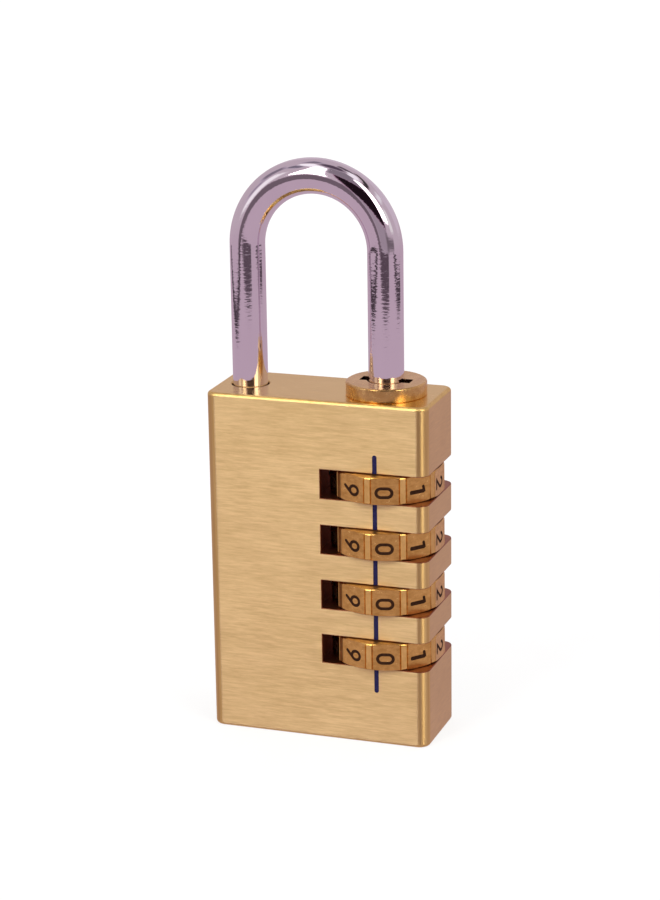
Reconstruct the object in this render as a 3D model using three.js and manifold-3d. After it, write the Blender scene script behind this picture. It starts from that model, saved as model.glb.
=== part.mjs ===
// Four-dial combination padlock: a solid brass body with four numbered dials, a chromed shackle,
// and the lock work inside. Millimetres, +Z up. The front is -Y, and the origin is at the centre
// of the body's underside.
//
// The long leg of the shackle runs down through four clutch sleeves, one inside each dial, and
// carries four fins. A fin can rise past its sleeve's web only when the gate in that web faces it.
// The sleeves stand on a spring: pressed down by the turned shackle, their dogs leave the dials'
// notches, and the code can be changed.
import * as THREE from 'three';
import { mergeVertices } from 'three/addons/utils/BufferGeometryUtils.js';
import Module from 'manifold-3d';

const wasm = await Module();
wasm.setup();

// Driving dimensions, in mm
const body = { width: 40, depth: 16.4, height: 61.4, cornerRadius: 2, edgeChamfer: 0.6 };
const rodRadius = 3.075;
const longLegX = 10.4;
const shortLegX = -14.5;
const bowCentreZ = 86.1;
const shortLegEndZ = 53.4;
const longLegEndZ = 5.6;
const shortLegHole = { radius: 3.3, floorZ: 52.6 };

const dial = {
  count: 4,
  firstZ: 16.7,
  pitch: 10,
  height: 4.9,
  ribRadius: 9.9,
  ribWidth: 0.95,
  panelApothem: 9.6,
  panelWidth: 4.7,
  grooveRadius: 9.72,
  faces: 10,
  restTurn: 15.6, // degrees from the front to the middle of the zero face, towards +X
};
const slot = { height: 5.1, frontLeftX: 0.95, cutterRadius: 40 };

const bore = { radius: 5.9, keywayRadius: 6.75, keywayWidth: 1.9 };
const sleeve = {
  radius: 5.8,
  wellRadius: 4.6,
  endGap: 0.1, // between one sleeve and the next
  webLow: 1.2, // heights from the middle of the dial
  webHigh: 2.6,
  legHoleRadius: 3.15,
  gateReach: 4.5,
  gateWidth: 2,
  dogLow: 0.5,
  dogHigh: 1.5,
  dogReach: 6.6,
  dogWidth: 1.5,
};
const fin = { low: -2.2, high: -0.7, reach: 4.3, width: 1.6 };
const dialBore = { notchFloor: 0.2, notchWidth: 1.8, notchRadius: 6.75, recessRadius: 6.8 };

const collar = {
  radius: 7,
  height: 2.4,
  chamfer: 0.3,
  spigotRadius: 5.85,
  boreRadius: 3.25,
  keywayReach: 4.5,
  keywayWidth: 2.5,
};
const plug = { radius: 5.85, height: 3.5, chamfer: 0.3 };
const clip = { radius: 4.35, thickness: 1, low: 6.8, grooveRadius: 2.5, mouth: 1.1 };
const seat = { thickness: 1.4, innerRadius: 4.6, radius: 5.8 };
const returnSpring = { radius: 5.2, wireRadius: 0.38, turns: 5, wireSides: 6, stepsPerTurn: 12 };
const detent = {
  ballRadius: 1,
  ballX: -0.7, // the centre of the ball
  boreRadius: 1.12,
  boreEndX: -5.8,
};
const detentSpring = { radius: 0.72, wireRadius: 0.18, turns: 4, wireSides: 4, stepsPerTurn: 8 };
const indexLine = { x: 10.8, width: 0.75, lowZ: 9.5, highZ: 52.6, depth: 0.2 };

const boreSides = 36; // every round that is coaxial with the long leg, apart from the leg
const rodSides = 20;
const clearCut = 1; // how far a cutting solid runs past the face that it opens

const dialZ = (index) => dial.firstZ + index * dial.pitch;
const dialIndices = [...Array(dial.count).keys()];
const topSleeveEndZ = dialZ(dial.count - 1) + dial.pitch / 2 - sleeve.endGap / 2;
const lowSleeveEndZ = dialZ(0) - dial.pitch / 2 + sleeve.endGap / 2;
const zeroFaceAngle = THREE.MathUtils.degToRad(dial.restTurn - 90); // about Z, from +X
const faceStep = (2 * Math.PI) / dial.faces;

// Solids: closed meshes that can be joined and cut
function toSolid(geometry) {
  const bare = geometry.clone();
  bare.deleteAttribute('normal');
  bare.deleteAttribute('uv');
  const merged = mergeVertices(bare, 1e-5);
  const mesh = new wasm.Mesh({
    numProp: 3,
    vertProperties: new Float32Array(merged.attributes.position.array),
    triVerts: new Uint32Array(merged.index.array),
  });
  return new wasm.Manifold(mesh);
}

function toGeometry(solid) {
  const mesh = solid.getMesh();
  const geometry = new THREE.BufferGeometry();
  geometry.setAttribute('position', new THREE.BufferAttribute(mesh.vertProperties, 3));
  geometry.setIndex(new THREE.BufferAttribute(mesh.triVerts, 1));
  geometry.computeVertexNormals();
  return geometry;
}

const join = (solids) => solids.reduce((all, next) => all.add(next));
const cut = (solid, cutters) => cutters.reduce((left, cutter) => left.subtract(cutter), solid);

function cylinder(radius, lowZ, highZ, x = 0, sides = boreSides) {
  const geometry = new THREE.CylinderGeometry(radius, radius, highZ - lowZ, sides);
  geometry.rotateX(Math.PI / 2);
  geometry.translate(x, 0, (lowZ + highZ) / 2);
  return toSolid(geometry);
}

// A solid of revolution about the vertical through x, from [radius, z] points that start and end
// on the axis.
function turned(points, x = 0, sides = boreSides) {
  const profile = points.map(([radius, z]) => new THREE.Vector2(radius, z));
  const geometry = new THREE.LatheGeometry(profile, sides);
  geometry.rotateX(Math.PI / 2);
  geometry.translate(x, 0, 0);
  return toSolid(geometry);
}

function block(low, high) {
  const size = high.map((value, axis) => value - low[axis]);
  const geometry = new THREE.BoxGeometry(...size);
  geometry.translate(...low.map((value, axis) => value + size[axis] / 2));
  return toSolid(geometry);
}

// A block that runs out from the vertical axis at x, at an angle from +X.
function spoke(x, angle, reach, width, lowZ, highZ, start = 0) {
  const geometry = new THREE.BoxGeometry(reach - start, width, highZ - lowZ);
  geometry.translate((start + reach) / 2, 0, (lowZ + highZ) / 2);
  geometry.rotateZ(angle);
  geometry.translate(x, 0, 0);
  return toSolid(geometry);
}

function prism(shape, lowZ, highZ, curveSegments = 12) {
  const geometry = new THREE.ExtrudeGeometry(shape, {
    depth: highZ - lowZ,
    bevelEnabled: false,
    curveSegments,
  });
  geometry.translate(0, 0, lowZ);
  return toSolid(geometry);
}

class Helix extends THREE.Curve {
  constructor(radius, height, turns) {
    super();
    Object.assign(this, { radius, height, turns });
  }

  getPoint(t, target = new THREE.Vector3()) {
    const angle = 2 * Math.PI * this.turns * t;
    return target.set(
      this.radius * Math.cos(angle),
      this.radius * Math.sin(angle),
      this.height * t,
    );
  }
}

// An open coil spring that stands on z = 0.
function coil({ radius, wireRadius, turns, wireSides, stepsPerTurn }, length) {
  const wire = new THREE.Shape();
  wire.absarc(0, 0, wireRadius, 0, 2 * Math.PI);
  const geometry = new THREE.ExtrudeGeometry(wire, {
    steps: turns * stepsPerTurn,
    extrudePath: new Helix(radius, length - 2 * wireRadius, turns),
    bevelEnabled: false,
    curveSegments: wireSides / 2,
  });
  geometry.translate(0, 0, wireRadius);
  return geometry;
}

// Body
function roundedPlan(width, depth, radius) {
  const x = width / 2;
  const y = depth / 2;
  const shape = new THREE.Shape();
  shape.moveTo(radius - x, -y);
  shape.absarc(x - radius, radius - y, radius, -Math.PI / 2, 0);
  shape.absarc(x - radius, y - radius, radius, 0, Math.PI / 2);
  shape.absarc(radius - x, y - radius, radius, Math.PI / 2, Math.PI);
  shape.absarc(radius - x, radius - y, radius, Math.PI, (3 * Math.PI) / 2);
  return shape;
}

function bodyBlank() {
  const { width, depth, height, cornerRadius, edgeChamfer } = body;
  const plan = roundedPlan(
    width - 2 * edgeChamfer,
    depth - 2 * edgeChamfer,
    cornerRadius - edgeChamfer,
  );
  const geometry = new THREE.ExtrudeGeometry(plan, {
    depth: height - 2 * edgeChamfer,
    bevelEnabled: true,
    bevelSize: edgeChamfer,
    bevelThickness: edgeChamfer,
    bevelSegments: 1,
    curveSegments: 6,
  });
  geometry.translate(0, 0, edgeChamfer);
  return toSolid(geometry);
}

// A dial slot is sawn in from the right: its blind end is an arc of the saw.
function slotCutter(centreZ) {
  const halfDepth = body.depth / 2 + clearCut;
  const { cutterRadius, frontLeftX, height } = slot;
  const cutterX = frontLeftX + Math.sqrt(cutterRadius ** 2 - (body.depth / 2) ** 2);
  const halfAngle = Math.asin(halfDepth / cutterRadius);
  const plan = new THREE.Shape();
  plan.moveTo(body.width / 2 + clearCut, -halfDepth);
  plan.lineTo(body.width / 2 + clearCut, halfDepth);
  plan.absarc(cutterX, 0, cutterRadius, Math.PI - halfAngle, Math.PI + halfAngle, false);
  return prism(plan, centreZ - height / 2, centreZ + height / 2, 4);
}

function dogKeyways(lowZ, highZ) {
  return [zeroFaceAngle, zeroFaceAngle + Math.PI].map((angle) =>
    spoke(longLegX, angle, bore.keywayRadius, bore.keywayWidth, lowZ, highZ));
}

function detentBore(centreZ) {
  const length = body.width / 4;
  const geometry = new THREE.CylinderGeometry(detent.boreRadius, detent.boreRadius, length, 16);
  geometry.rotateZ(Math.PI / 2);
  geometry.translate(detent.boreEndX + length / 2, 0, centreZ);
  return toSolid(geometry);
}

function indexGroove() {
  const { x, width, lowZ, highZ, depth } = indexLine;
  const radius = width / 2;
  const outline = new THREE.Shape();
  outline.absarc(x, lowZ + radius, radius, Math.PI, 2 * Math.PI);
  outline.absarc(x, highZ - radius, radius, 0, Math.PI);
  const geometry = new THREE.ExtrudeGeometry(outline, {
    depth: depth + clearCut,
    bevelEnabled: false,
    curveSegments: 5,
  });
  geometry.rotateX(Math.PI / 2);
  geometry.translate(0, depth - body.depth / 2, 0);
  return toSolid(geometry);
}

function makeBody() {
  const boreTop = body.height + clearCut;
  return toGeometry(cut(bodyBlank(), [
    cylinder(bore.radius, -clearCut, boreTop, longLegX),
    ...dogKeyways(plug.height, topSleeveEndZ),
    cylinder(shortLegHole.radius, shortLegHole.floorZ, boreTop, shortLegX, rodSides),
    ...dialIndices.flatMap((index) => [slotCutter(dialZ(index)), detentBore(dialZ(index))]),
    indexGroove(),
  ]));
}

// Collar: a flanged bush pressed into the top of the bore, with a keyway on each side of the leg
function makeCollar() {
  const { radius, height, chamfer, spigotRadius, boreRadius, keywayReach, keywayWidth } = collar;
  const top = body.height + height;
  const low = topSleeveEndZ + sleeve.endGap;
  const blank = turned([
    [0, low],
    [spigotRadius, low],
    [spigotRadius, body.height],
    [radius, body.height],
    [radius, top - chamfer],
    [radius - chamfer, top],
    [0, top],
  ], longLegX);
  const keyways = [0, Math.PI].map((angle) =>
    spoke(longLegX, angle, keywayReach, keywayWidth, low - clearCut, top + clearCut));
  const legBore = cylinder(boreRadius, low - clearCut, top + clearCut, longLegX);
  return toGeometry(cut(blank, [legBore, ...keyways]));
}

function makeBottomPlug() {
  const { radius, height, chamfer } = plug;
  return toGeometry(turned([
    [0, 0],
    [radius - chamfer, 0],
    [radius, chamfer],
    [radius, height],
    [0, height],
  ], longLegX));
}

// Shackle: two straight legs and a half-round bow, with fins and a clip groove on the long leg
function leg(x, endZ) {
  const chamfer = rodRadius / 4;
  return turned([
    [0, endZ],
    [rodRadius - chamfer, endZ],
    [rodRadius, endZ + chamfer],
    [rodRadius, bowCentreZ],
    [0, bowCentreZ],
  ], x, rodSides);
}

function bow() {
  const radius = (longLegX - shortLegX) / 2;
  const centreX = (longLegX + shortLegX) / 2;
  const span = radius + rodRadius + clearCut;
  const ring = new THREE.TorusGeometry(radius, rodRadius, rodSides, 48);
  ring.rotateX(Math.PI / 2);
  ring.translate(centreX, 0, bowCentreZ);
  const upper = block(
    [centreX - span, -span, bowCentreZ],
    [centreX + span, span, bowCentreZ + span],
  );
  return toSolid(ring).intersect(upper);
}

function clipGroove() {
  const low = clip.low - 0.05;
  const high = clip.low + clip.thickness + 0.05;
  const core = cylinder(clip.grooveRadius, low - clearCut, high + clearCut, longLegX, rodSides);
  return cylinder(rodRadius + clearCut, low, high, longLegX, rodSides).subtract(core);
}

function makeShackle() {
  const fins = dialIndices.map((index) =>
    spoke(longLegX, Math.PI, fin.reach, fin.width, dialZ(index) + fin.low, dialZ(index) + fin.high));
  const rod = join([leg(longLegX, longLegEndZ), leg(shortLegX, shortLegEndZ), bow()]);
  return toGeometry(cut(join([rod, ...fins]), [clipGroove()]));
}

// Retaining clip: an open ring in the long leg's groove, which stops the lift at the lowest web
function makeRetainingClip() {
  const inner = clip.grooveRadius + 0.06;
  const halfMouth = Math.asin(clip.mouth / inner);
  const outline = new THREE.Shape();
  outline.absarc(longLegX, 0, clip.radius, halfMouth, 2 * Math.PI - halfMouth);
  outline.absarc(longLegX, 0, inner, 2 * Math.PI - halfMouth, halfMouth, true);
  return toGeometry(prism(outline, clip.low, clip.low + clip.thickness, 10));
}

// Dial: ten flat faces between narrow ribs, with a fine groove beside each rib; inside, ten
// notches over a plain recess
function dialOutline() {
  const { faces, ribRadius, ribWidth, panelApothem, panelWidth, grooveRadius } = dial;
  const ribEdge = faceStep / 2 - Math.asin(ribWidth / 2 / ribRadius);
  const panelEdge = Math.atan(panelWidth / 2 / panelApothem);
  const groove = (panelEdge + ribEdge) / 2;
  const panelEdgeRadius = panelApothem / Math.cos(panelEdge);
  const points = [];
  for (let face = 0; face < faces; face += 1) {
    const middle = zeroFaceAngle + face * faceStep;
    const corners = [
      [ribRadius, middle - ribEdge],
      [grooveRadius, middle - groove],
      [panelEdgeRadius, middle - panelEdge],
      [panelEdgeRadius, middle + panelEdge],
      [grooveRadius, middle + groove],
      [ribRadius, middle + ribEdge],
    ];
    for (const [radius, angle] of corners) {
      points.push(new THREE.Vector2(
        longLegX + radius * Math.cos(angle),
        radius * Math.sin(angle),
      ));
    }
  }
  return new THREE.Shape(points);
}

function makeDial(index) {
  const centreZ = dialZ(index);
  const low = centreZ - dial.height / 2;
  const high = centreZ + dial.height / 2;
  const notchFloorZ = centreZ + dialBore.notchFloor;
  const notches = [...Array(dial.faces).keys()].map((face) =>
    spoke(longLegX, zeroFaceAngle + face * faceStep, dialBore.notchRadius, dialBore.notchWidth,
      notchFloorZ, high + clearCut));
  return toGeometry(cut(prism(dialOutline(), low, high), [
    cylinder(bore.radius, low - clearCut, high + clearCut, longLegX),
    cylinder(dialBore.recessRadius, low - clearCut, notchFloorZ, longLegX),
    ...notches,
  ]));
}

// Clutch sleeve: a tube with a gated web across it and two dogs that key it to its dial
function makeClutchSleeve(index) {
  const centreZ = dialZ(index);
  const low = centreZ - dial.pitch / 2 + sleeve.endGap / 2;
  const high = centreZ + dial.pitch / 2 - sleeve.endGap / 2;
  const dogs = [zeroFaceAngle, zeroFaceAngle + Math.PI].map((angle) =>
    spoke(longLegX, angle, sleeve.dogReach, sleeve.dogWidth,
      centreZ + sleeve.dogLow, centreZ + sleeve.dogHigh, sleeve.wellRadius + 0.4));
  return toGeometry(cut(join([cylinder(sleeve.radius, low, high, longLegX), ...dogs]), [
    cylinder(sleeve.wellRadius, low - clearCut, centreZ + sleeve.webLow, longLegX),
    cylinder(sleeve.wellRadius, centreZ + sleeve.webHigh, high + clearCut, longLegX),
    cylinder(sleeve.legHoleRadius, low, high, longLegX, rodSides),
    spoke(longLegX, Math.PI, sleeve.gateReach, sleeve.gateWidth, low, high),
  ]));
}

// Spring seat and return spring, under the stack of sleeves
const seatHighZ = lowSleeveEndZ - sleeve.endGap;
const seatLowZ = seatHighZ - seat.thickness;

function makeSpringSeat() {
  const washer = cylinder(seat.radius, seatLowZ, seatHighZ, longLegX);
  const hole = cylinder(seat.innerRadius, seatLowZ - clearCut, seatHighZ + clearCut, longLegX);
  return toGeometry(washer.subtract(hole));
}

function makeReturnSpring() {
  const gap = 0.05;
  const geometry = coil(returnSpring, seatLowZ - plug.height - 2 * gap);
  geometry.translate(longLegX, 0, plug.height + gap);
  return geometry;
}

// Detents: a sprung ball in the end wall of each slot, against the dial
function makeDetentBall(index) {
  const geometry = new THREE.SphereGeometry(detent.ballRadius, 12, 8);
  geometry.translate(detent.ballX, 0, dialZ(index));
  return geometry;
}

function makeDetentSpring(index) {
  const gap = 0.05;
  const highX = detent.ballX - detent.ballRadius - gap;
  const lowX = detent.boreEndX + gap;
  const geometry = coil(detentSpring, highX - lowX);
  geometry.rotateY(Math.PI / 2);
  geometry.translate(lowX, 0, dialZ(index));
  return geometry;
}

// Materials
const metal = (color, roughness) =>
  new THREE.MeshStandardMaterial({ color, roughness, metalness: 1 });
const materials = {
  bodyBrass: metal(0xd6b278, 0.38),
  dialBrass: metal(0xc4914a, 0.3),
  collarBrass: metal(0xbe8246, 0.25),
  chrome: metal(0xc9c3cc, 0.08),
  steel: metal(0x9a9ba0, 0.35),
  springSteel: metal(0x6d6f75, 0.4),
};

const padlock = new THREE.Group();

function addPart(name, geometry, material) {
  const mesh = new THREE.Mesh(geometry, material);
  mesh.name = name;
  padlock.add(mesh);
}

addPart('body', makeBody(), materials.bodyBrass);
addPart('collar', makeCollar(), materials.collarBrass);
addPart('bottom_plug', makeBottomPlug(), materials.bodyBrass);
addPart('shackle', makeShackle(), materials.chrome);
addPart('retaining_clip', makeRetainingClip(), materials.steel);
addPart('spring_seat', makeSpringSeat(), materials.steel);
addPart('return_spring', makeReturnSpring(), materials.springSteel);
for (const index of dialIndices) {
  const number = dial.count - index; // dial 1 is at the top
  addPart(`dial_${number}`, makeDial(index), materials.dialBrass);
  addPart(`clutch_sleeve_${number}`, makeClutchSleeve(index), materials.steel);
  addPart(`detent_ball_${number}`, makeDetentBall(index), materials.steel);
  addPart(`detent_spring_${number}`, makeDetentSpring(index), materials.springSteel);
}

export default padlock;
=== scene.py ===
"""Looks for the four-dial combination padlock: brushed brass body and dials, chromed shackle.

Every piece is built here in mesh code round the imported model. Sizes named in millimetres are turned
into metres by MM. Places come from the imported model's boxes.
"""

import math

import bmesh
import bpy
from mathutils import Matrix, Vector


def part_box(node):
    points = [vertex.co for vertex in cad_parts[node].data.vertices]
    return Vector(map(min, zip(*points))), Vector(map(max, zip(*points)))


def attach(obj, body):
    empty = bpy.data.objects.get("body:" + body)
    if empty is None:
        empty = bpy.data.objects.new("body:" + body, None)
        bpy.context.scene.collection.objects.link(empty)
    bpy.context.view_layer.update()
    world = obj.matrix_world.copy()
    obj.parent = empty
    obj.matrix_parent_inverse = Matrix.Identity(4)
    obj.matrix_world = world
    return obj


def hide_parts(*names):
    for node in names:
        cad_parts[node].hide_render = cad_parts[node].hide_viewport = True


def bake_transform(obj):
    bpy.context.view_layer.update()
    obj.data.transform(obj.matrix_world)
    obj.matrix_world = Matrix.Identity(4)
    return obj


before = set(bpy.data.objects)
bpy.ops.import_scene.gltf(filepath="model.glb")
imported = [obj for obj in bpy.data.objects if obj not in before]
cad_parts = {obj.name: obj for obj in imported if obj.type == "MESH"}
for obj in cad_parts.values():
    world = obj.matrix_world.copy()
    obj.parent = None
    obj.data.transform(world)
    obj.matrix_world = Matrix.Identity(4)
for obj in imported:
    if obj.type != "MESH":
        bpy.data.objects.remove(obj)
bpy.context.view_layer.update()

MM = 0.001
TURN = 2 * math.pi

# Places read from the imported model, in metres
body_low, body_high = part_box("body")
shackle_low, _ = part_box("shackle")
collar_low, collar_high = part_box("collar")
plug_low, plug_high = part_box("bottom_plug")
seat_low, seat_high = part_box("spring_seat")
spring_low, spring_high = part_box("return_spring")
clip_low, clip_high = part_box("retaining_clip")
AXIS_X = (collar_low.x + collar_high.x) / 2  # the long leg, the dials and the sleeves share it
HALF_DEPTH = body_high.y
DIAL_NUMBERS = (1, 2, 3, 4)


def box_middle(node):
    low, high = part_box(node)
    return (low + high) / 2


DIAL_Z = {number: box_middle(f"dial_{number}").z for number in DIAL_NUMBERS}

# Shapes, in millimetres
CORNER_RADIUS = 2.0
EDGE_ROUND = 0.62
SLOT_HEIGHT = 5.1
SLOT_FRONT_LEFT = 0.95
SAW_RADIUS = 40.0
SLOT_EDGE_BREAK = 0.15
BORE_RADIUS = 5.9
KEYWAY_REACH = 6.75
KEYWAY_WIDTH = 1.9
KEYWAY_TOP = 51.65
SOCKET_RADIUS = 3.3
SOCKET_DEPTH = 8.8
DETENT_BORE_RADIUS = 1.12
DETENT_BORE_END = -5.8
INDEX_X = 10.8
INDEX_WIDTH = 0.82
INDEX_LOW = 9.5
INDEX_HIGH = 52.6
INDEX_DEPTH = 0.12

ROD_RADIUS = 3.075
SHORT_LEG_X = -14.5
BOW_CENTRE_Z = 86.1

DIAL_HEIGHT = 4.9
RIB_RADIUS = 9.9
RIB_WIDTH = 0.95
PANEL_APOTHEM = 9.6
PANEL_WIDTH = 4.7
GROOVE_RADIUS = 9.7
DIAL_FACES = 10
REST_TURN = 15.6
ZERO_ANGLE = math.radians(REST_TURN - 90)  # of the zero face's normal, about Z from +X
FACE_STEP = TURN / DIAL_FACES
NUMERAL_HEIGHT = 3.25
NUMERAL_WIDTH = 2.1
STROKE = 0.54
NUMERAL_DEPTH = 0.05
NUMERAL_SHIFT = (-0.31, -0.17)  # of the stamped numerals: up the dial, and along the turn


# ---------------------------------------------------------------- meshes

def object_from_bmesh(name, bm, materials=()):
    bmesh.ops.recalc_face_normals(bm, faces=bm.faces[:])
    mesh = bpy.data.meshes.new(name)
    bm.to_mesh(mesh)
    bm.free()
    for material in materials:
        mesh.materials.append(material)
    obj = bpy.data.objects.new(name, mesh)
    bpy.context.scene.collection.objects.link(obj)
    return obj


def remove(obj):
    mesh = obj.data
    bpy.data.objects.remove(obj)
    bpy.data.meshes.remove(mesh)


def apply_modifiers(obj):
    depsgraph = bpy.context.evaluated_depsgraph_get()
    baked = bpy.data.meshes.new_from_object(obj.evaluated_get(depsgraph))
    obj.modifiers.clear()
    old = obj.data
    obj.data = baked
    bpy.data.meshes.remove(old)


def combine(obj, others, operation):
    """Cuts, joins or intersects obj with each of the others, and uses them up."""
    for other in others:
        modifier = obj.modifiers.new("combine", "BOOLEAN")
        modifier.object = other
        modifier.operation = operation
        modifier.solver = "EXACT"
        modifier.material_mode = "TRANSFER"
        apply_modifiers(obj)
        remove(other)
    return obj


def cut(obj, *others):
    return combine(obj, others, "DIFFERENCE")


def join(obj, *others):
    return combine(obj, others, "UNION")


def intersect(obj, *others):
    return combine(obj, others, "INTERSECT")


def soften(obj, width, segments=2, angle=30):
    """Rounds the sharp edges by width millimetres."""
    modifier = obj.modifiers.new("soften", "BEVEL")
    modifier.width = width * MM
    modifier.segments = segments
    modifier.limit_method = "ANGLE"
    modifier.angle_limit = math.radians(angle)
    modifier.harden_normals = False
    apply_modifiers(obj)
    return obj


def smooth(obj, angle=35):
    """Smooth shading up to that angle, with the flat faces kept flat."""
    for polygon in obj.data.polygons:
        polygon.use_smooth = True
    obj.data.set_sharp_from_angle(angle=math.radians(angle))
    modifier = obj.modifiers.new("flatten", "WEIGHTED_NORMAL")
    modifier.keep_sharp = True
    apply_modifiers(obj)
    return obj


def prism(name, outline, low_z, high_z, materials=()):
    """An upright solid from a closed outline of (x, y) points. All sizes are in millimetres."""
    bm = bmesh.new()
    floor = [bm.verts.new((x * MM, y * MM, low_z * MM)) for x, y in outline]
    face = bm.faces.new(floor)
    top = bmesh.ops.extrude_face_region(bm, geom=[face])["geom"]
    moved = [item for item in top if isinstance(item, bmesh.types.BMVert)]
    bmesh.ops.translate(bm, verts=moved, vec=(0, 0, (high_z - low_z) * MM))
    return object_from_bmesh(name, bm, materials)


def lathe(name, profile, centre=(0, 0), sides=96, materials=()):
    """A solid of revolution about a vertical, from (radius, z) points. A profile that starts and
    ends on the axis is closed there, and any other one closes on itself."""
    bm = bmesh.new()
    points = [Vector((radius * MM, 0, z * MM)) for radius, z in profile]
    on_axis = profile[0][0] == 0 and profile[-1][0] == 0
    rings = []
    for x, _, z in points:
        if x == 0:
            rings.append([bm.verts.new((centre[0] * MM, centre[1] * MM, z))])
            continue
        ring = []
        for side in range(sides):
            angle = TURN * side / sides
            px = centre[0] * MM + x * math.cos(angle)
            py = centre[1] * MM + x * math.sin(angle)
            ring.append(bm.verts.new((px, py, z)))
        rings.append(ring)
    pairs = list(zip(rings, rings[1:]))
    if not on_axis:
        pairs.append((rings[-1], rings[0]))
    for first, second in pairs:
        for side in range(sides):
            after = (side + 1) % sides
            corners = [first[side % len(first)], first[after % len(first)],
                       second[after % len(second)], second[side % len(second)]]
            unique = list(dict.fromkeys(corners))
            if len(unique) > 2:
                bm.faces.new(unique)
    return object_from_bmesh(name, bm, materials)


def cylinder(name, radius, low_z, high_z, centre=(0, 0), sides=96, materials=()):
    profile = [(0, low_z), (radius, low_z), (radius, high_z), (0, high_z)]
    return lathe(name, profile, centre, sides, materials)


def box(name, low, high, materials=()):
    outline = [(low[0], low[1]), (high[0], low[1]), (high[0], high[1]), (low[0], high[1])]
    return prism(name, outline, low[2], high[2], materials)


def spoke(name, angle, start, reach, width, low_z, high_z):
    """A block that runs out from the long leg's axis at an angle from +X."""
    obj = box(name, (start, -width / 2, low_z), (reach, width / 2, high_z))
    place = Matrix.Translation((AXIS_X, 0, 0)) @ Matrix.Rotation(angle, 4, "Z")
    obj.data.transform(place)
    return obj


def sweep(name, path, radius, sides, materials=()):
    """A round bar along a list of points in metres, with flat ends."""
    bm = bmesh.new()
    normal = Vector((0, 1, 0))
    rings = []
    for index, point in enumerate(path):
        before = path[max(index - 1, 0)]
        after = path[min(index + 1, len(path) - 1)]
        tangent = (after - before).normalized()
        normal = (normal - tangent * normal.dot(tangent)).normalized()
        side_way = tangent.cross(normal)
        ring = []
        for side in range(sides):
            angle = TURN * side / sides
            offset = normal * math.cos(angle) + side_way * math.sin(angle)
            ring.append(bm.verts.new(point + offset * radius * MM))
        rings.append(ring)
    for first, second in zip(rings, rings[1:]):
        for side in range(sides):
            after = (side + 1) % sides
            bm.faces.new((first[side], first[after], second[after], second[side]))
    bm.faces.new(rings[0])
    bm.faces.new(rings[-1])
    return object_from_bmesh(name, bm, materials)


def arc(centre, radius, start, end, steps):
    """Points on an arc, angles in degrees."""
    points = []
    for step in range(steps + 1):
        angle = math.radians(start + (end - start) * step / steps)
        points.append((centre[0] + radius * math.cos(angle), centre[1] + radius * math.sin(angle)))
    return points


def copy_of(obj, name, shift):
    mesh = obj.data.copy()
    mesh.name = name
    mesh.transform(Matrix.Translation(shift))
    duplicate = bpy.data.objects.new(name, mesh)
    bpy.context.scene.collection.objects.link(duplicate)
    return duplicate


# ---------------------------------------------------------------- materials

class Tree:
    """A small helper that adds nodes to a material and links them."""

    def __init__(self, name, world=None):
        self.material = world or bpy.data.materials.new(name)
        self.material.use_nodes = True
        self.nodes = self.material.node_tree.nodes
        self.links = self.material.node_tree.links
        self.shader = self.nodes["Background" if world else "Principled BSDF"]

    def add(self, kind, inputs=None, **settings):
        node = self.nodes.new(kind)
        for key, value in settings.items():
            setattr(node, key, value)
        for key, value in (inputs or {}).items():
            if isinstance(value, bpy.types.NodeSocket):
                self.links.new(value, node.inputs[key])
            else:
                node.inputs[key].default_value = value
        return node

    def noise(self, scale_xyz, detail=4.0, roughness=0.6):
        """Noise in object space, with so many cells to the metre along X, Y and Z."""
        place = self.add("ShaderNodeTexCoord").outputs["Object"]
        mapping = self.add("ShaderNodeMapping", {"Vector": place, "Scale": scale_xyz})
        inputs = {"Vector": mapping.outputs[0], "Scale": 1.0, "Detail": detail,
                  "Roughness": roughness}
        return self.add("ShaderNodeTexNoise", inputs).outputs[0]

    def math(self, operation, first, second=0.0):
        return self.add("ShaderNodeMath", {0: first, 1: second}, operation=operation).outputs[0]

    def spread(self, value, low, high, start=0.3, end=0.7):
        """The value from start to end, stretched over low to high."""
        inputs = {0: value, 1: start, 2: end, 3: low, 4: high}
        return self.add("ShaderNodeMapRange", inputs).outputs[0]

    def mix(self, factor, first, second):
        node = self.add("ShaderNodeMix", {0: factor}, data_type="RGBA")
        for index, colour in ((6, first), (7, second)):
            if isinstance(colour, bpy.types.NodeSocket):
                self.links.new(colour, node.inputs[index])
            else:
                node.inputs[index].default_value = (*colour, 1)
        return node.outputs[2]

    def bump(self, height, strength, distance_mm, normal=None):
        inputs = {"Height": height, "Strength": strength, "Distance": distance_mm * MM}
        if normal:
            inputs["Normal"] = normal
        return self.add("ShaderNodeBump", inputs).outputs[0]

    def surface(self, **values):
        for key, value in values.items():
            name = key.replace("_", " ").title().replace("Ior", "IOR")
            socket = self.shader.inputs[name]
            if isinstance(value, bpy.types.NodeSocket):
                self.links.new(value, socket)
            elif isinstance(value, tuple):
                socket.default_value = (*value, 1)
            else:
                socket.default_value = value
        return self.material


def brushed(name, colour, dark, grain, patches, roughness, strength=0.25, anisotropy=0.0):
    """Brushed metal: fine lines along the axis where grain has few cells, and wide soft patches."""
    tree = Tree(name)
    lines = tree.noise(grain, detail=5, roughness=0.65)
    cloud = tree.noise(patches, detail=2)
    tone = tree.math("ADD", lines, tree.math("MULTIPLY", cloud, 0.4))
    base = tree.mix(tree.spread(tone, 0, 1, 0.52, 0.88), dark, colour)
    rough = tree.spread(lines, roughness[0], roughness[1])
    return tree.surface(
        base_color=base, metallic=1.0, roughness=rough, anisotropic=anisotropy,
        anisotropic_rotation=0.25, normal=tree.bump(lines, strength, 0.01),
    )


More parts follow.
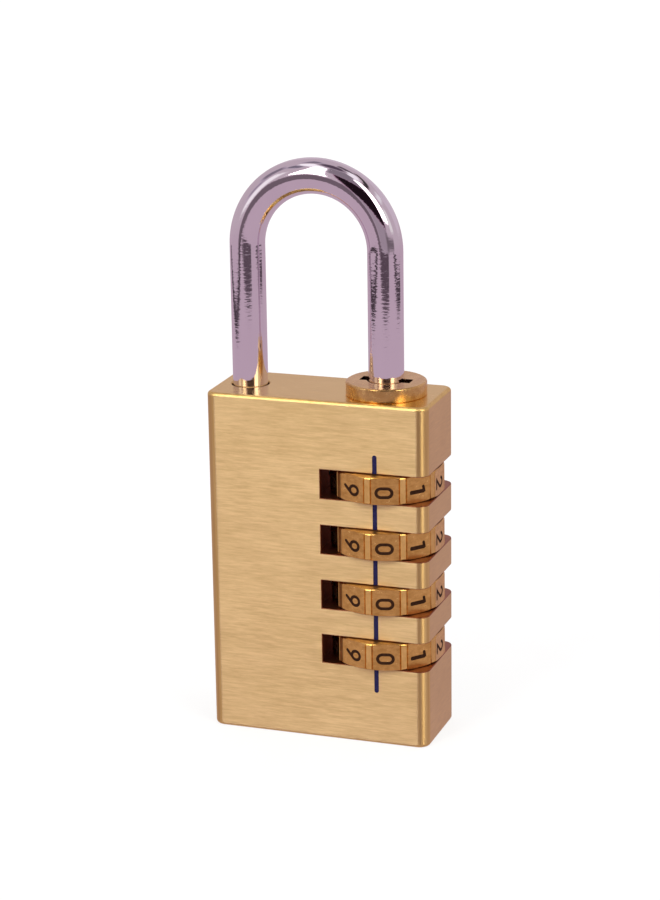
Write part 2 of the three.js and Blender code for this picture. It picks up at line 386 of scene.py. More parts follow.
BRASS = (0.89, 0.67, 0.33)
BRASS_DARK = (0.73, 0.53, 0.235)
FINE = 3600
LONG = 300
# Each side of the block has its own copy of the brass, brushed its own way, with its tone set to the
# light that side catches: painted light and shade, the ends darker than the front.
brass_front = brushed("brass_front", BRASS, BRASS_DARK, (LONG, FINE, FINE), (60, 90, 140),
                      (0.36, 0.48), 0.2, 0.8)
brass_side_shaded = brushed("brass_side_shaded", (0.81, 0.56, 0.24), (0.70, 0.46, 0.18), (FINE, LONG, FINE),
                     (60, 90, 90), (0.34, 0.42), 0.15, 0.5)
brass_top = brushed("brass_top", (0.90, 0.63, 0.215), (0.80, 0.54, 0.165), (LONG, FINE, FINE),
                    (60, 90, 140), (0.20, 0.28), 0.08)
brass_edge = brushed("brass_edge", (0.88, 0.62, 0.235), (0.74, 0.49, 0.16), (900, 900, FINE),
                     (700, 200, 900), (0.38, 0.48), 0.15)
brass_corner = brushed("brass_corner", (0.92, 0.65, 0.27), (0.74, 0.48, 0.17), (1300, 1300, 25),
                       (1300, 1300, 25), (0.42, 0.50), 0.1, 0.95)
# Dark brass inside the slots, bores, keyways and socket: painted shade.
brass_slot_shaded = brushed("brass_slot_shaded", (0.46, 0.17, 0.08), (0.26, 0.085, 0.04), (LONG, FINE, FINE),
                     (200, 200, 200), (0.30, 0.42), 0.3)
brass_dial = brushed("brass_dial", (0.88, 0.54, 0.165), (0.64, 0.36, 0.09), (900, 900, 1500),
                     (260, 260, 260), (0.20, 0.28), 0.1, 0.5)
# Lighter brass for the ribs' outer faces: painted highlight, along with a rougher finish.
brass_rib_highlit = brushed("brass_rib_highlit", (0.87, 0.57, 0.205), (0.76, 0.45, 0.135), (900, 900, 900),
                    (260, 260, 260), (0.34, 0.42), 0.1, 0.6)
# Dark brass for the dial's flat ends, which sit in the slots under the webs: painted shade.
brass_dial_end_shaded = brushed("brass_dial_end_shaded", (0.50, 0.27, 0.085), (0.34, 0.17, 0.05), (900, 900, 900),
                     (260, 260, 260), (0.42, 0.50), 0.2)
brass_collar = brushed("brass_collar", (0.82, 0.53, 0.20), (0.66, 0.38, 0.12),
                       (900, 900, 900), (300, 300, 300), (0.20, 0.30), 0.06, 0.5)
brass_shadow = brushed("brass_shadow", (0.10, 0.03, 0.015), (0.05, 0.015, 0.008), (900, 900, 900),
                       (300, 300, 300), (0.35, 0.45), 0.1)


def make_chrome():
    """Polished bar with faint rings round it, which roughen upright mirror edges."""
    tree = Tree("chrome")
    rings = tree.noise((900, 900, 2800), detail=1, roughness=0.5)
    waves = tree.noise((160, 160, 90), detail=2)
    # The mauve tint in the chrome's colour is painted reflection of the mauve room round it.
    base = tree.mix(tree.spread(waves, 0, 1), (0.82, 0.745, 0.815), (0.85, 0.78, 0.845))
    soft_waves = tree.bump(waves, 0.05, 0.4)
    return tree.surface(base_color=base, metallic=1.0, roughness=tree.spread(waves, 0.05, 0.07),
                        normal=tree.bump(rings, 1.0, 0.006, soft_waves))


def plain_metal(name, colour, dark, cells, roughness, strength=0.2):
    tree = Tree(name)
    grain = tree.noise(cells, detail=4)
    base = tree.mix(tree.spread(grain, 0, 1), dark, colour)
    return tree.surface(base_color=base, metallic=1.0, normal=tree.bump(grain, strength, 0.01),
                        roughness=tree.spread(grain, *roughness))


def make_enamel(name, colour, worn):
    tree = Tree(name)
    grain = tree.noise((2500, 2500, 2500), detail=3)
    base = tree.mix(tree.spread(grain, 0, 1, 0.35, 0.75), colour, worn)
    return tree.surface(base_color=base, roughness=tree.spread(grain, 0.45, 0.6),
                        specular_ior_level=0.02, normal=tree.bump(grain, 0.15, 0.01))


chrome = make_chrome()
steel = plain_metal("steel", (0.60, 0.60, 0.62), (0.48, 0.48, 0.50), (2600, 2600, 900),
                    (0.28, 0.40))
spring_steel = plain_metal("spring_steel", (0.36, 0.36, 0.38), (0.24, 0.24, 0.26),
                           (1800, 1800, 1800), (0.30, 0.42))
black_enamel = make_enamel("black_enamel", (0.022, 0.008, 0.004), (0.045, 0.018, 0.009))
blue_enamel = make_enamel("blue_enamel", (0.014, 0.012, 0.055), (0.03, 0.025, 0.085))


# ---------------------------------------------------------------- body

def rounded_plan(width, depth, radius, steps=10):
    x, y = width / 2 - radius, depth / 2 - radius
    outline = []
    for centre, start in (((x, -y), -90), ((x, y), 0), ((-x, y), 90), ((-x, -y), 180)):
        outline += arc(centre, radius, start, start + 90, steps)
    return outline


def body_blank():
    """The block with its rounded upright edges and its small rounds at the top and bottom."""
    width = (body_high.x - body_low.x) / MM
    depth = (body_high.y - body_low.y) / MM
    height = body_high.z / MM
    rounds = 5
    levels = []
    for step in range(rounds + 1):
        angle = math.pi / 2 * step / rounds
        inset = EDGE_ROUND * (1 - math.sin(angle))
        levels.append((inset, EDGE_ROUND * (1 - math.cos(angle))))
    levels += [(inset, height - z) for inset, z in reversed(levels)]
    bm = bmesh.new()
    rings = []
    for inset, z in levels:
        outline = rounded_plan(width - 2 * inset, depth - 2 * inset, CORNER_RADIUS - inset)
        rings.append([bm.verts.new((x * MM, y * MM, z * MM)) for x, y in outline])
    for first, second in zip(rings, rings[1:]):
        for index in range(len(first)):
            after = (index + 1) % len(first)
            bm.faces.new((first[index], first[after], second[after], second[index]))
    bm.faces.new(rings[0])
    bm.faces.new(rings[-1])
    return object_from_bmesh("body_visual", bm)


def slot_cutter(centre_z):
    half = HALF_DEPTH / MM + 1
    saw_x = SLOT_FRONT_LEFT + math.sqrt(SAW_RADIUS ** 2 - (HALF_DEPTH / MM) ** 2)
    spread = math.degrees(math.asin(half / SAW_RADIUS))
    right = body_high.x / MM + 1
    outline = [(right, -half), (right, half)]
    outline += arc((saw_x, 0), SAW_RADIUS, 180 - spread, 180 + spread, 24)
    return prism("slot", outline, centre_z - SLOT_HEIGHT / 2, centre_z + SLOT_HEIGHT / 2)


def detent_bore(centre_z):
    length = 10
    obj = cylinder("detent_bore", DETENT_BORE_RADIUS, 0, length, sides=40)
    obj.data.transform(Matrix.Rotation(math.pi / 2, 4, "Y"))
    obj.data.transform(Matrix.Translation((DETENT_BORE_END * MM, 0, centre_z * MM)))
    return obj


def index_cutter(low_z, high_z):
    """A shallow groove across the front, with round ends where it doesn't run into a slot."""
    radius = INDEX_WIDTH / 2
    outline = arc((INDEX_X, low_z + radius), radius, 180, 360, 12)
    outline += arc((INDEX_X, high_z - radius), radius, 0, 180, 12)
    front = HALF_DEPTH / MM
    obj = prism("index", outline, 0, INDEX_DEPTH + 1, (blue_enamel,))
    obj.data.transform(Matrix.Rotation(math.pi / 2, 4, "X"))
    obj.data.transform(Matrix.Translation((0, (INDEX_DEPTH - front) * MM, 0)))
    return obj


def break_slot_edges(obj):
    """Takes the sharpness off the slots' outlines, on the outer faces of the block."""
    bm = bmesh.new()
    bm.from_mesh(obj.data)
    width = body_high.x
    near = 0.02 * MM
    heights = []
    for z in DIAL_Z.values():
        heights += [z - SLOT_HEIGHT / 2 * MM, z + SLOT_HEIGHT / 2 * MM]

    def outside(vert):
        x, y = abs(vert.co.x), abs(vert.co.y)
        inner_x, inner_y = width - CORNER_RADIUS * MM, HALF_DEPTH - CORNER_RADIUS * MM
        if x > inner_x and y > inner_y:
            reach = math.hypot(x - inner_x, y - inner_y)
            return abs(reach - CORNER_RADIUS * MM) < near
        return abs(x - width) < near or abs(y - HALF_DEPTH) < near

    def chosen(edge):
        if not all(outside(vert) for vert in edge.verts) or len(edge.link_faces) != 2:
            return False
        if edge.calc_face_angle(0) < math.radians(40):
            return False
        first, second = (vert.co for vert in edge.verts)
        level = any(abs(first.z - z) < near and abs(second.z - z) < near for z in heights)
        upright = abs(first.x - second.x) < near and abs(first.x - SLOT_FRONT_LEFT * MM) < near
        return level or upright

    edges = [edge for edge in bm.edges if chosen(edge)]
    bmesh.ops.bevel(bm, geom=edges, offset=SLOT_EDGE_BREAK * MM, segments=2, profile=0.5,
                    affect="EDGES", clamp_overlap=True)
    bm.to_mesh(obj.data)
    bm.free()


def paint_body(obj):
    """Gives each face the finish of its side: front and back, ends, top and bottom, corners, bevels
    and cuts. Each finish is brushed its own way, and its tone stands for the light that side catches:
    painted light and shade, with painted shade in the cuts."""
    mesh = obj.data
    blue = [material and material.name.startswith("blue") for material in mesh.materials]
    was_blue = [bool(blue and blue[polygon.material_index]) for polygon in mesh.polygons]
    mesh.materials.clear()
    for material in (brass_front, brass_side_shaded, brass_top, brass_corner, brass_slot_shaded, blue_enamel,
                     brass_edge):
        mesh.materials.append(material)
    inside = 0.05 * MM
    for polygon, painted in zip(mesh.polygons, was_blue):
        normal, centre = polygon.normal, polygon.center
        if painted:
            polygon.material_index = 5
        elif abs(normal.y) > 0.985 and abs(centre.y) > HALF_DEPTH - inside:
            polygon.material_index = 0
        elif abs(normal.x) > 0.985 and abs(centre.x) > body_high.x - inside:
            polygon.material_index = 1
        elif centre.z > body_high.z - inside / 10 or centre.z < inside / 10:
            polygon.material_index = 2
        elif centre.z > body_high.z - EDGE_ROUND * MM or centre.z < EDGE_ROUND * MM:
            polygon.material_index = 6
        elif abs(normal.z) < 0.3 and (abs(centre.x) > body_high.x - CORNER_RADIUS * MM):
            polygon.material_index = 3
        else:
            # Whatever is left lies inside a cut and gets the dark brass: painted shade.
            polygon.material_index = 4


def make_body():
    obj = body_blank()
    height = body_high.z / MM
    centre = (AXIS_X / MM, 0)
    cut(obj, cylinder("bore", BORE_RADIUS, -1, height + 1, centre))
    for angle in (ZERO_ANGLE, ZERO_ANGLE + math.pi):
        cut(obj, spoke("keyway", angle, 0, KEYWAY_REACH, KEYWAY_WIDTH,
                       plug_high.z / MM, KEYWAY_TOP))
    socket_floor = height - SOCKET_DEPTH
    socket = lathe("socket", [
        (0, socket_floor), (SOCKET_RADIUS, socket_floor), (SOCKET_RADIUS, height - 0.15),
        (SOCKET_RADIUS + 0.15, height), (SOCKET_RADIUS + 0.15, height + 1), (0, height + 1),
    ], (SHORT_LEG_X, 0))
    cut(obj, socket)
    for z in DIAL_Z.values():
        cut(obj, slot_cutter(z / MM), detent_bore(z / MM))
    break_slot_edges(obj)
    cut(obj, index_cutter(INDEX_LOW, INDEX_HIGH))
    paint_body(obj)
    return smooth(obj, 32)


# ---------------------------------------------------------------- dials

def strokes_of(digit):
    """The centre lines of a plain numeral in a box from -1 to 1 each way, closed ones marked."""
    bowl = 0.63  # half the height of a round bowl
    high, low = 1 - bowl, bowl - 1
    strokes = {
        0: [(bend(0, high, 1, bowl, 0, 180) + bend(0, low, 1, bowl, 180, 360), True)],
        1: [([(-0.72, 0.86), (0.18, 0.96), (0.18, -1)], False), ([(0.4, 0.9), (0.4, -1)], False)],
        2: [(bend(0, 0.42, 1, 0.58, 165, -35) + [(-1, -1), (1, -1)], False)],
        3: [(bend(0, 0.5, 0.9, 0.5, 150, -90), False), (bend(0, -0.5, 1, 0.5, 90, -150), False)],
        4: [([(0.15, 1), (-1, -0.42), (1, -0.42)], False), ([(0.45, 0.15), (0.45, -1)], False)],
        5: [([(0.85, 1), (-0.75, 1), (-0.85, 0.05)], False),
            (bend(0, -0.38, 1, 0.62, 138, -150), False)],
        6: [(bend(0, low, 1, bowl, 0, 350), True), ([(-0.82, 0), (0.85, 1)], False)],
        7: [([(-1, 1), (1, 1), (-0.3, -1)], False)],
        8: [(bend(0, 0.5, 0.86, 0.5, 0, 350), True), (bend(0, -0.5, 1, 0.5, 0, 350), True)],
    }
    if digit == 9:
        turned = []
        for points, closed in strokes_of(6):
            turned.append(([(-px, -py) for px, py in points], closed))
        return turned
    return strokes[digit]


def bend(cx, cy, rx, ry, start, end):
    """Points along part of an ellipse, one for each 12 degrees or so."""
    steps = max(2, round(abs(end - start) / 12))
    return [(cx + rx * px, cy + ry * py) for px, py in arc((0, 0), 1, start, end, steps)]


def outline_of(points, closed, width):
    """Outlines, outer first, of a line of that width, with mitred joints and round ends."""
    vectors = [Vector(point) for point in points]
    count = len(vectors)
    left, right = [], []
    for index, point in enumerate(vectors):
        before = vectors[index - 1] if closed or index > 0 else None
        after = vectors[(index + 1) % count] if closed or index < count - 1 else None
        ways = []
        if before is not None:
            ways.append((point - before).normalized())
        if after is not None:
            ways.append((after - point).normalized())
        mean = sum(ways, Vector((0, 0))).normalized()
        normal = Vector((-mean.y, mean.x))
        across = Vector((-ways[0].y, ways[0].x))
        reach = width / 2 / max(normal.dot(across), 0.45)
        left.append(point + normal * reach)
        right.append(point - normal * reach)
    if closed:
        return [right, left]
    return [cap(vectors[0], left[0], right[0]) + right[1:-1]
            + cap(vectors[-1], right[-1], left[-1]) + left[-2:0:-1]]


def cap(centre, start, end, steps=6):
    """Half a circle round an end of a line, from start to end, anticlockwise."""
    first = math.atan2(start.y - centre.y, start.x - centre.x)
    radius = (start - centre).length
    angles = [first + math.pi * step / steps for step in range(steps + 1)]
    return [centre + Vector((math.cos(a), math.sin(a))) * radius for a in angles]


def stroke_cutter(points, closed, depth):
    """Cuts one stroke of a numeral into the plane z = 0, and leaves the cut black."""
    scale_x = (NUMERAL_WIDTH - STROKE) / 2
    scale_y = (NUMERAL_HEIGHT - STROKE) / 2
    scaled = [(px * scale_x, py * scale_y) for px, py in points]
    outlines = outline_of(scaled, closed, STROKE)
    bm = bmesh.new()
    rings = []
    for outline in outlines:
        low = [bm.verts.new((p.x * MM, p.y * MM, -depth * MM)) for p in outline]
        high = [bm.verts.new((p.x * MM, p.y * MM, 1 * MM)) for p in outline]
        for index in range(len(low)):
            after = (index + 1) % len(low)
            bm.faces.new((low[index], low[after], high[after], high[index]))
        rings.append((low, high))
    if closed:
        (low_a, high_a), (low_b, high_b) = rings
        for first, second in ((low_a, low_b), (high_a, high_b)):
            for index in range(len(first)):
                after = (index + 1) % len(first)
                bm.faces.new((first[index], first[after], second[after], second[index]))
    else:
        bm.faces.new(rings[0][0])
        bm.faces.new(rings[0][1])
    return object_from_bmesh("stroke", bm, (black_enamel,))


def dial_outline():
    rib_edge = FACE_STEP / 2 - math.asin(RIB_WIDTH / 2 / RIB_RADIUS)
    panel_edge = math.atan(PANEL_WIDTH / 2 / PANEL_APOTHEM)
    groove = (panel_edge + rib_edge) / 2
    panel_edge_radius = PANEL_APOTHEM / math.cos(panel_edge)
    corners = [(RIB_RADIUS, -rib_edge), (GROOVE_RADIUS, -groove), (panel_edge_radius, -panel_edge),
               (panel_edge_radius, panel_edge), (GROOVE_RADIUS, groove), (RIB_RADIUS, rib_edge)]
    outline = []
    for face in range(DIAL_FACES):
        middle = ZERO_ANGLE + face * FACE_STEP
        for radius, angle in corners:
            outline.append((radius * math.cos(middle + angle), radius * math.sin(middle + angle)))
    return outline


def paint_dial(obj):
    """Gives the ribs' outer faces a brighter, rougher brass, its lighter tone a painted highlight,
    and the flat ends of the dial a darker, duller one, its dark tone painted shade.
    """
    obj.data.materials.append(brass_rib_highlit)
    obj.data.materials.append(brass_dial_end_shaded)
    half_rib = math.asin(RIB_WIDTH / 2 / RIB_RADIUS)
    for polygon in obj.data.polygons:
        centre = polygon.center
        turn = (math.atan2(centre.y, centre.x) - ZERO_ANGLE) % FACE_STEP
        outside = math.hypot(centre.x, centre.y) > (RIB_RADIUS - 0.3) * MM
        if outside and abs(turn - FACE_STEP / 2) < 0.9 * half_rib and abs(polygon.normal.z) < 0.5:
            # Rib faces: the lighter brass, painted highlight.
            polygon.material_index = 1
        elif abs(polygon.normal.z) > 0.8:
            # Flat ends: the dark brass, painted shade.
            polygon.material_index = 2


def make_dial_blank():
    """A dial about the origin, with its ribs, grooves, rounded edges and engraved numerals."""
    half = DIAL_HEIGHT / 2
    obj = prism("dial_blank", dial_outline(), -half, half, (brass_dial,))
    envelope = lathe("envelope", [
        (0, -half), (RIB_RADIUS - 0.3, -half), (RIB_RADIUS - 0.14, -half + 0.08),
        (RIB_RADIUS - 0.03, -half + 0.22), (RIB_RADIUS + 0.05, -half + 0.5),
        (RIB_RADIUS + 0.05, half - 0.5), (RIB_RADIUS - 0.12, half - 0.22),
        (RIB_RADIUS - 0.3, half - 0.08), (RIB_RADIUS - 0.5, half), (0, half),
    ], sides=180, materials=(brass_dial,))
    intersect(obj, envelope)
    paint_dial(obj)
    cut(obj, cylinder("bore", BORE_RADIUS, -half - 1, half + 1, sides=96, materials=(brass_dial,)))
    cut(obj, cylinder("recess", 6.8, -half - 1, 0.2, sides=96, materials=(brass_dial,)))
    for face in range(DIAL_FACES):
        notch = box("notch", (0, -0.9, 0.2), (6.75, 0.9, half + 1), (brass_dial,))
        notch.data.transform(Matrix.Rotation(ZERO_ANGLE + face * FACE_STEP, 4, "Z"))
        cut(obj, notch)
    for digit in range(DIAL_FACES):
        angle = ZERO_ANGLE + digit * FACE_STEP
        # The top of each numeral points along the turn, and its face looks outward.
        up, along = NUMERAL_SHIFT
        upright = Matrix.Rotation(angle, 4, "Z") @ Matrix(
            ((0, 0, 1, PANEL_APOTHEM * MM), (0, 1, 0, along * MM), (-1, 0, 0, up * MM),
             (0, 0, 0, 1)))
        for order, (points, closed) in enumerate(strokes_of(digit)):
            cutter = stroke_cutter(points, closed, NUMERAL_DEPTH + 0.01 * order)
            cutter.data.transform(upright)
            cut(obj, cutter)
    return smooth(obj, 40)


# ---------------------------------------------------------------- collar, plug and shackle

def make_collar():
    low, top = collar_low.z / MM, collar_high.z / MM
    seat = body_high.z / MM
    radius = (collar_high.x - collar_low.x) / 2 / MM
    centre = (AXIS_X / MM, 0)
    obj = lathe("collar_visual", [
        (0, low), (5.75, low), (5.85, low + 0.1), (5.85, seat), (radius - 0.12, seat),
        (radius, seat + 0.12), (radius, top - 0.34), (radius - 0.08, top - 0.14),
        (radius - 0.3, top), (0, top),
    ], centre, 128, (brass_collar,))
    keyways = spoke("keyways", 0, -4.5, 4.5, 2.5, low - 1, top + 1)
    keyways.data.materials.append(brass_shadow)
    cut(obj, keyways)
    cut(obj, lathe("leg_bore", [
        (0, low - 1), (3.25, low - 1), (3.25, top - 0.12), (3.37, top), (3.37, top + 1),
        (0, top + 1),
    ], centre, 96, (brass_collar,)))
    return smooth(obj, 32)


def make_bottom_plug():
    radius = (plug_high.x - plug_low.x) / 2 / MM
    height = plug_high.z / MM
    rings = [(0, 0.06), (0.5, 0.06), (0.6, 0), (radius - 0.3, 0), (radius - 0.08, 0.06),
             (radius, 0.25), (radius, height - 0.1), (radius - 0.1, height), (0, height)]
    return smooth(lathe("bottom_plug_visual", rings, (AXIS_X / MM, 0), 128, (brass_side_shaded,)), 32)


def shackle_path():
    """From the foot of the short leg, over the bow, to the foot of the long leg, in metres."""
    long_x, bow_z = AXIS_X / MM, BOW_CENTRE_Z
    radius = (long_x - SHORT_LEG_X) / 2
    middle = (long_x + SHORT_LEG_X) / 2
    short_foot = body_high.z / MM - 8
    long_foot = shackle_low.z / MM
    points = [(SHORT_LEG_X, short_foot), (SHORT_LEG_X, (short_foot + bow_z) / 2)]
    points += arc((middle, bow_z), radius, 180, 0, 96)
    points += [(long_x, (long_foot + bow_z) / 2), (long_x, long_foot)]
    return [Vector((x * MM, 0, z * MM)) for x, z in points]


def make_shackle():
    obj = sweep("shackle_visual", shackle_path(), ROD_RADIUS, 64, (chrome,))
    soften(obj, 0.6, 3, 60)
    for number in DIAL_NUMBERS:
        z = DIAL_Z[number] / MM
        fin = spoke("fin", math.pi, 2.2, 4.3, 1.6, z - 2.2, z - 0.7)
        soften(fin, 0.15, 2)
        fin.data.materials.append(chrome)
        join(obj, fin)
    low, high = clip_low.z / MM - 0.05, clip_high.z / MM + 0.05
    groove = lathe("groove", [(2.5, low), (4, low), (4, high), (2.5, high)], (AXIS_X / MM, 0), 96,
                   (chrome,))
    cut(obj, groove)
    return smooth(obj, 32)


# ---------------------------------------------------------------- lock work

def make_sleeve(number):
    z = DIAL_Z[number] / MM
    low_corner, high_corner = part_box(f"clutch_sleeve_{number}")
    low, high = low_corner.z / MM, high_corner.z / MM
    centre = (AXIS_X / MM, 0)
    obj = lathe(f"clutch_sleeve_{number}_visual", [
        (0, low), (5.68, low), (5.8, low + 0.12), (5.8, high - 0.12), (5.68, high), (0, high),
    ], centre, 96, (steel,))
    for angle in (ZERO_ANGLE, ZERO_ANGLE + math.pi):
        dog = spoke("dog", angle, 5, 6.6, 1.5, z + 0.5, z + 1.5)
        soften(dog, 0.1, 2)
        dog.data.materials.append(steel)
        join(obj, dog)
    cut(obj,
        cylinder("well", 4.6, low - 1, z + 1.2, centre, materials=(steel,)),
        cylinder("well", 4.6, z + 2.6, high + 1, centre, materials=(steel,)),
        cylinder("leg_hole", 3.15, low, high, centre, materials=(steel,)),
        spoke("gate", math.pi, 0, 4.5, 2, low, high))
    return smooth(obj, 32)


def make_clip():
    low, high = clip_low.z / MM, clip_high.z / MM
    half_mouth = math.degrees(math.asin(1.1 / 2.56))
    centre = (AXIS_X / MM, 0)
    outline = arc(centre, 4.35, half_mouth, 360 - half_mouth, 72)
    outline += arc(centre, 2.56, 360 - half_mouth, half_mouth, 56)
    obj = prism("retaining_clip_visual", outline, low, high, (steel,))
    return smooth(soften(obj, 0.12, 2, 50), 32)


def make_seat():
    low, high = seat_low.z / MM, seat_high.z / MM
    rim = 0.15
    profile = [(4.6 + rim, low), (5.8 - rim, low), (5.8, low + rim), (5.8, high - rim),
               (5.8 - rim, high), (4.6 + rim, high), (4.6, high - rim), (4.6, low + rim)]
    return smooth(lathe("spring_seat_visual", profile, (AXIS_X / MM, 0), 96, (steel,)), 50)


def coil_path(radius, low, high, turns, steps_per_turn):
    """Points of a coil about +Z, in millimetres."""
    points = []
    count = turns * steps_per_turn
    for step in range(count + 1):
        share = step / count
        angle = TURN * turns * share
        points.append(Vector((radius * math.cos(angle), radius * math.sin(angle),
                              low + (high - low) * share)))
    return points


def make_return_spring():
    wire = 0.38
    points = coil_path(5.2, spring_low.z / MM + wire, spring_high.z / MM - wire, 5, 36)
    path = [Vector((AXIS_X + p.x * MM, p.y * MM, p.z * MM)) for p in points]
    return smooth(sweep("return_spring_visual", path, wire, 14, (spring_steel,)), 40)


def make_ball(number):
    middle = box_middle(f"detent_ball_{number}")
    bm = bmesh.new()
    bmesh.ops.create_icosphere(bm, subdivisions=4, radius=1 * MM)
    bmesh.ops.translate(bm, verts=bm.verts[:], vec=middle)
    return smooth(object_from_bmesh(f"detent_ball_{number}_visual", bm, (steel,)), 60)


def make_detent_spring(number):
    low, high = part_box(f"detent_spring_{number}")
    wire = 0.18
    points = coil_path(0.72, low.x / MM + wire, high.x / MM - wire, 5, 20)
    path = [Vector((p.z * MM, p.x * MM, DIAL_Z[number] + p.y * MM)) for p in points]
    return smooth(sweep(f"detent_spring_{number}_visual", path, wire, 10, (spring_steel,)), 40)


# ---------------------------------------------------------------- assembly

def fit(obj, node, body):
    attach(obj, body)
    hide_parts(node)
    return obj


def assemble():
    fit(make_body(), "body", "lock_body")
    fit(make_collar(), "collar", "lock_body")
    fit(make_bottom_plug(), "bottom_plug", "lock_body")
    fit(make_shackle(), "shackle", "shackle")
    fit(make_clip(), "retaining_clip", "shackle")
    fit(make_seat(), "spring_seat", "spring_seat")
    blank = make_dial_blank()
    for number in DIAL_NUMBERS:
        dial = copy_of(blank, f"dial_{number}_visual", (AXIS_X, 0, DIAL_Z[number]))
        fit(dial, f"dial_{number}", f"dial_{number}")
        fit(make_sleeve(number), f"clutch_sleeve_{number}", f"sleeve_{number}")
        fit(make_ball(number), f"detent_ball_{number}", f"ball_{number}")
    remove(blank)
    spring = make_return_spring()
    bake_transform(spring)
    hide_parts("return_spring")
    for number in DIAL_NUMBERS:
        spring = make_detent_spring(number)
        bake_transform(spring)
        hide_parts(f"detent_spring_{number}")


# ---------------------------------------------------------------- studio

CAMERA_AZIMUTH = 19.4
CAMERA_ELEVATION = 16.3
CAMERA_ROLL = 0.87
CAMERA_DISTANCE = 465.7 * MM
CAMERA_TARGET = Vector((-1.85, 5.17, 48.77)) * MM
LENS_MM = 105.8


def direction(azimuth, elevation):
    """From the object towards a camera that looks along +Y at azimuth 0."""
    a, e = math.radians(azimuth), math.radians(elevation)
    return Vector((math.sin(a) * math.cos(e), -math.cos(a) * math.cos(e), math.sin(e)))


def make_camera():
    data = bpy.data.cameras.new("camera")
    data.lens = LENS_MM
    data.sensor_width = 36
    data.clip_start = 0.01
    data.clip_end = 50
    obj = bpy.data.objects.new("camera", data)
    bpy.context.scene.collection.objects.link(obj)
    away = direction(CAMERA_AZIMUTH, CAMERA_ELEVATION)
    right = Vector((0, 0, 1)).cross(away).normalized()
    up = away.cross(right)
    turn = Matrix((right, up, away)).transposed().to_4x4()
    place = Matrix.Translation(CAMERA_TARGET + away * CAMERA_DISTANCE)
    obj.matrix_world = place @ turn @ Matrix.Rotation(math.radians(-CAMERA_ROLL), 4, "Z")
    bpy.context.scene.camera = obj


def emission_material(name, colour, strength=1.0):
    material = bpy.data.materials.new(name)
    material.use_nodes = True
    nodes, links = material.node_tree.nodes, material.node_tree.links
    nodes.clear()
    glow = nodes.new("ShaderNodeEmission")
    glow.inputs[0].default_value = (*colour, 1)
    glow.inputs[1].default_value = strength
    out = nodes.new("ShaderNodeOutputMaterial")
    links.new(glow.outputs[0], out.inputs[0])
    material.cycles.emission_sampling = "NONE"
    return material


def make_floor():
    """A plain pale floor. Metal doesn't mirror it: the table sheet stands in for it there."""
    tree = Tree("floor")
    grain = tree.noise((30, 30, 30), detail=2)
    tone = tree.mix(tree.spread(grain, 0, 1), (0.93, 0.93, 0.93), (0.95, 0.95, 0.95))
    material = tree.surface(base_color=(0.15, 0.15, 0.15), roughness=0.9, emission_color=tone,
                            emission_strength=0.85)
    obj = cylinder("floor", 4000, -20, 0, sides=128, materials=(material,))
    obj.visible_glossy = False


def make_backdrop():
    bm = bmesh.new()
    bmesh.ops.create_icosphere(bm, subdivisions=4, radius=6)
    obj = object_from_bmesh("backdrop", bm, (emission_material("backdrop", (1, 1, 1), 1.0),))
    obj.visible_glossy = False
    obj.visible_shadow = False
    obj.visible_transmission = False


def make_card(name, low, high, colour):
    """A flat card on the table that only the metal mirrors, squared up to the camera. Sizes are in
    millimetres, with +Y away from the camera."""
    card = box(name, (*low, -0.6), (*high, -0.5), (emission_material(name, colour),))
    card.data.transform(Matrix.Rotation(math.radians(CAMERA_AZIMUTH), 4, "Z"))
    card.visible_camera = False
    card.visible_diffuse = False
    card.visible_shadow = False
    card.visible_transmission = False


def make_table():
    """The mauve sheet under the lock, and the dark gaps between it and the walls round it."""
    make_card("table_sheet", (-304, -328), (337, 450), SHEET)
    make_card("left_gap", (-352, -328), (-304, 300), (0.05, 0.035, 0.045))
    make_card("front_gap", (-195, -445), (145, -328), (0.10, 0.07, 0.09))
    make_card("right_gap", (337, -290), (384, 95), (0.05, 0.035, 0.045))


SHEET = (0.53, 0.41, 0.485)
WALL = (0.55, 0.46, 0.51)
CEILING = (0.10, 0.07, 0.10)
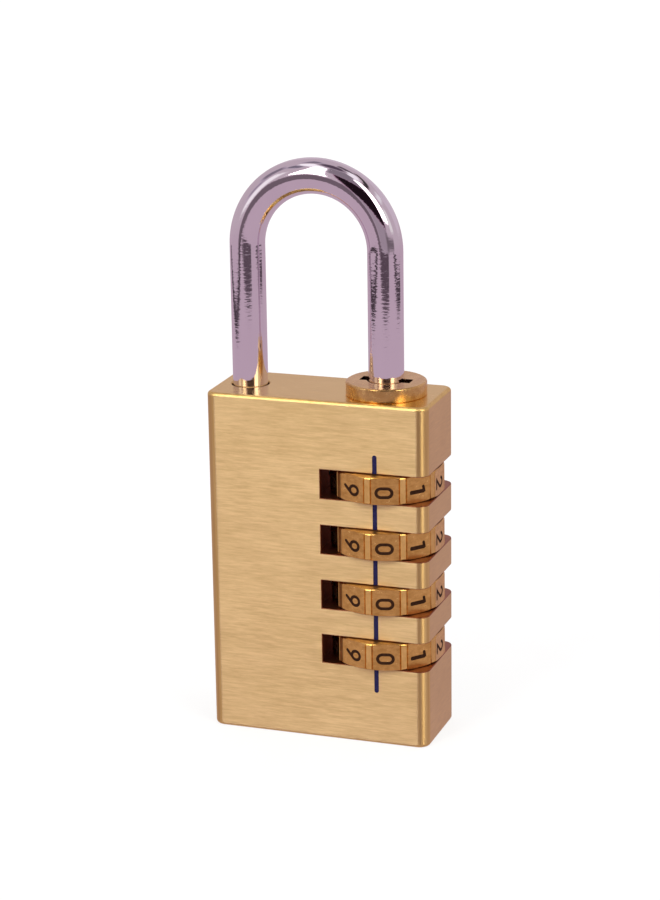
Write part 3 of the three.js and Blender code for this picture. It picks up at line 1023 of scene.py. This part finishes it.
# Soft boxes and dark panels of the room: azimuth range and elevation range in degrees, the softness
# of the edge, brightness, and colour. Later ones cover earlier ones.
PANELS = (
    ((-41, -5), (-16, 14), 5, 0.17, (1.0, 0.75, 0.90)),
    ((-5, 46), (-12, 8), 6, 0.36, (1.0, 0.82, 0.95)),
    ((-100, -74), (30, 50), 8, 0.24, (0.95, 0.80, 0.98)),
    ((-80, -66), (14, 30), 8, 0.36, (0.95, 0.80, 0.98)),
    ((-63, -44), (3, 36), 8, 1.0, (1.0, 0.97, 0.98)),
    ((-80, -48), (50, 59), 5, 0.20, (0.9, 0.8, 1.0)),
    ((-145, -104), (62, 76), 8, 0.24, (0.95, 0.82, 1.0)),
    ((-88, -28), (61, 75), 4, 1.1, (1.0, 0.99, 1.0)),
    ((-36, -12), (54, 70), 4, 1.6, (1.0, 0.99, 1.0)),
    ((-10, 60), (46, 78), 6, 0.25, (0.98, 0.82, 0.96)),
    ((78, 152), (52, 60), 4, 0.05, (1.0, 0.8, 0.85)),
    ((130, 175), (62, 76), 6, 0.12, (1.0, 0.8, 0.95)),
    ((62, 132), (64, 75), 5, 1.0, (1.0, 0.97, 1.0)),
    ((88, 122), (36, 44), 6, 0.8, (1.0, 0.97, 1.0)),
    ((72, 90), (8, 30), 6, 0.8, (1.0, 0.98, 0.96)),
    ((-4, 47), (8, 46), 4, 0.012, (1.0, 0.45, 0.75)),
    ((-31, -13), (20, 64), 3, 7.7, (1.0, 0.985, 0.93)),
    ((47, 70), (16, 62), 4, 5.0, (1.0, 0.97, 0.90)),
    ((34, 80), (-10, 3), 10, 0.18, (1.0, 0.80, 0.92)),
    ((125, 200), (4, 34), 14, 0.62, (1.0, 0.86, 0.97)),
    ((-200, -150), (4, 34), 14, 0.62, (1.0, 0.86, 0.97)),
)


def make_world():
    """What the metal mirrors: the room round the table, as a function of direction alone. Behind
    the lock it is plain white."""
    world = bpy.data.worlds.new("room")
    bpy.context.scene.world = world
    tree = Tree(None, world)
    place = tree.add("ShaderNodeTexCoord").outputs["Generated"]
    parts = tree.add("ShaderNodeSeparateXYZ", {0: place}).outputs
    forward = tree.math("MULTIPLY", parts[1], -1)
    azimuth = tree.math("ARCTAN2", parts[0], forward)
    elevation = tree.math("ARCSINE", parts[2])

    def rise(value, start, end):
        """0 to 1 as the angle goes from start to end, in degrees."""
        inputs = {0: value, 1: math.radians(start), 2: math.radians(end), 3: 0, 4: 1}
        return tree.add("ShaderNodeMapRange", inputs, interpolation_type="SMOOTHSTEP").outputs[0]

    def within(value, low, high, soft):
        entering = rise(value, low - soft / 2, low + soft / 2)
        leaving = rise(value, high + soft / 2, high - soft / 2)
        return tree.math("MULTIPLY", entering, leaving)

    colour = tree.mix(rise(elevation, -14, 2), SHEET, WALL)
    colour = tree.mix(rise(elevation, 75, 82), colour, CEILING)
    strength = 1.0
    for azimuths, elevations, soft, brightness, tint in PANELS:
        across = within(azimuth, *azimuths, soft)
        mask = tree.math("MULTIPLY", across, within(elevation, *elevations, soft))
        colour = tree.mix(mask, colour, tint)
        rest = tree.math("MULTIPLY", tree.math("SUBTRACT", 1.0, mask), strength)
        strength = tree.math("ADD", rest, tree.math("MULTIPLY", mask, brightness))
    seen = tree.add("ShaderNodeLightPath").outputs["Is Camera Ray"]
    unseen = tree.math("SUBTRACT", 1.0, seen)
    colour = tree.mix(seen, colour, (1, 1, 1))
    strength = tree.math("ADD", seen, tree.math("MULTIPLY", unseen, strength))
    tree.links.new(colour, tree.shader.inputs[0])
    tree.links.new(strength, tree.shader.inputs[1])


def make_studio():
    make_camera()
    make_world()
    make_table()
    make_backdrop()
    make_floor()
    bpy.context.scene.view_settings.view_transform = "Standard"


assemble()
make_studio()
